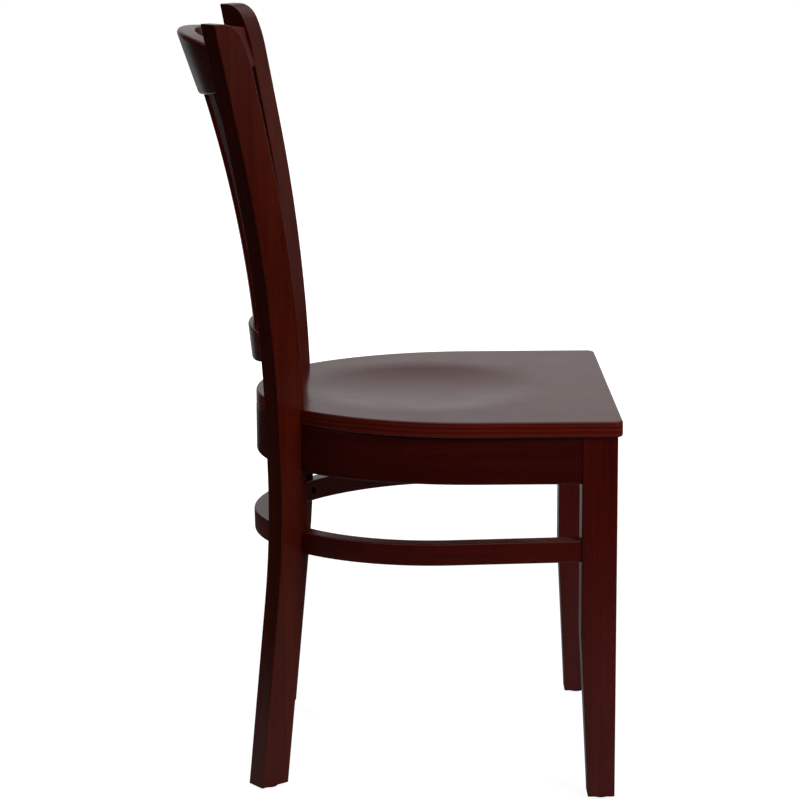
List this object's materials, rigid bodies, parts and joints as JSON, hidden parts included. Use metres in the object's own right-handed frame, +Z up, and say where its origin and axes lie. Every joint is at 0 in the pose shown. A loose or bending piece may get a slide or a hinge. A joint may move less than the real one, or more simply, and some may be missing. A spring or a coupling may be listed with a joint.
{
  "type": "slat back chair",
  "caption": "Wooden side chair with a dished round-back seat on a bent frame, curved rear posts, a bowed slat back and a bent hoop stretcher.",
  "frame": {"origin": "on the floor, under the middle of the overall box", "axes": "+Z up; the sitter faces -Y; +X is the sitter's left"},
  "size_m": [0.432, 0.4987, 0.8772],
  "materials": {
    "stained_wood": "dark mahogany stain under satin lacquer",
    "seat_ply": "stained plywood under satin lacquer",
    "plain_wood": "bare beech",
    "zinc_steel": "zinc plated",
    "glide_nylon": "dark nylon"
  },
  "bodies": {
    "root": {"back_slat_1": "stained_wood", "back_slat_2": "stained_wood", "back_slat_3": "stained_wood", "back_slat_4": "stained_wood", "block_screws": "zinc_steel", "bolt_washers": "zinc_steel", "corner_block_left": "plain_wood", "corner_block_right": "plain_wood", "crest_dowels": "plain_wood", "crest_rail": "stained_wood", "frame_dowels": "plain_wood", "front_leg_left": "stained_wood", "front_leg_right": "stained_wood", "front_rail": "stained_wood", "front_rail_dowels": "plain_wood", "glide_front_left": "glide_nylon", "glide_front_right": "glide_nylon", "glide_rear_left": "glide_nylon", "glide_rear_right": "glide_nylon", "lower_back_rail": "stained_wood", "lower_rail_dowels": "plain_wood", "post_bolts": "zinc_steel", "rear_post_left": "stained_wood", "rear_post_right": "stained_wood", "seat": "seat_ply", "seat_block_left": "plain_wood", "seat_block_right": "plain_wood", "seat_frame_hoop": "stained_wood", "seat_screws": "zinc_steel", "stretcher_dowels": "plain_wood", "stretcher_hoop": "stained_wood", "stretcher_screws": "zinc_steel", "threaded_inserts": "zinc_steel"}
  },
  "joints": []
}
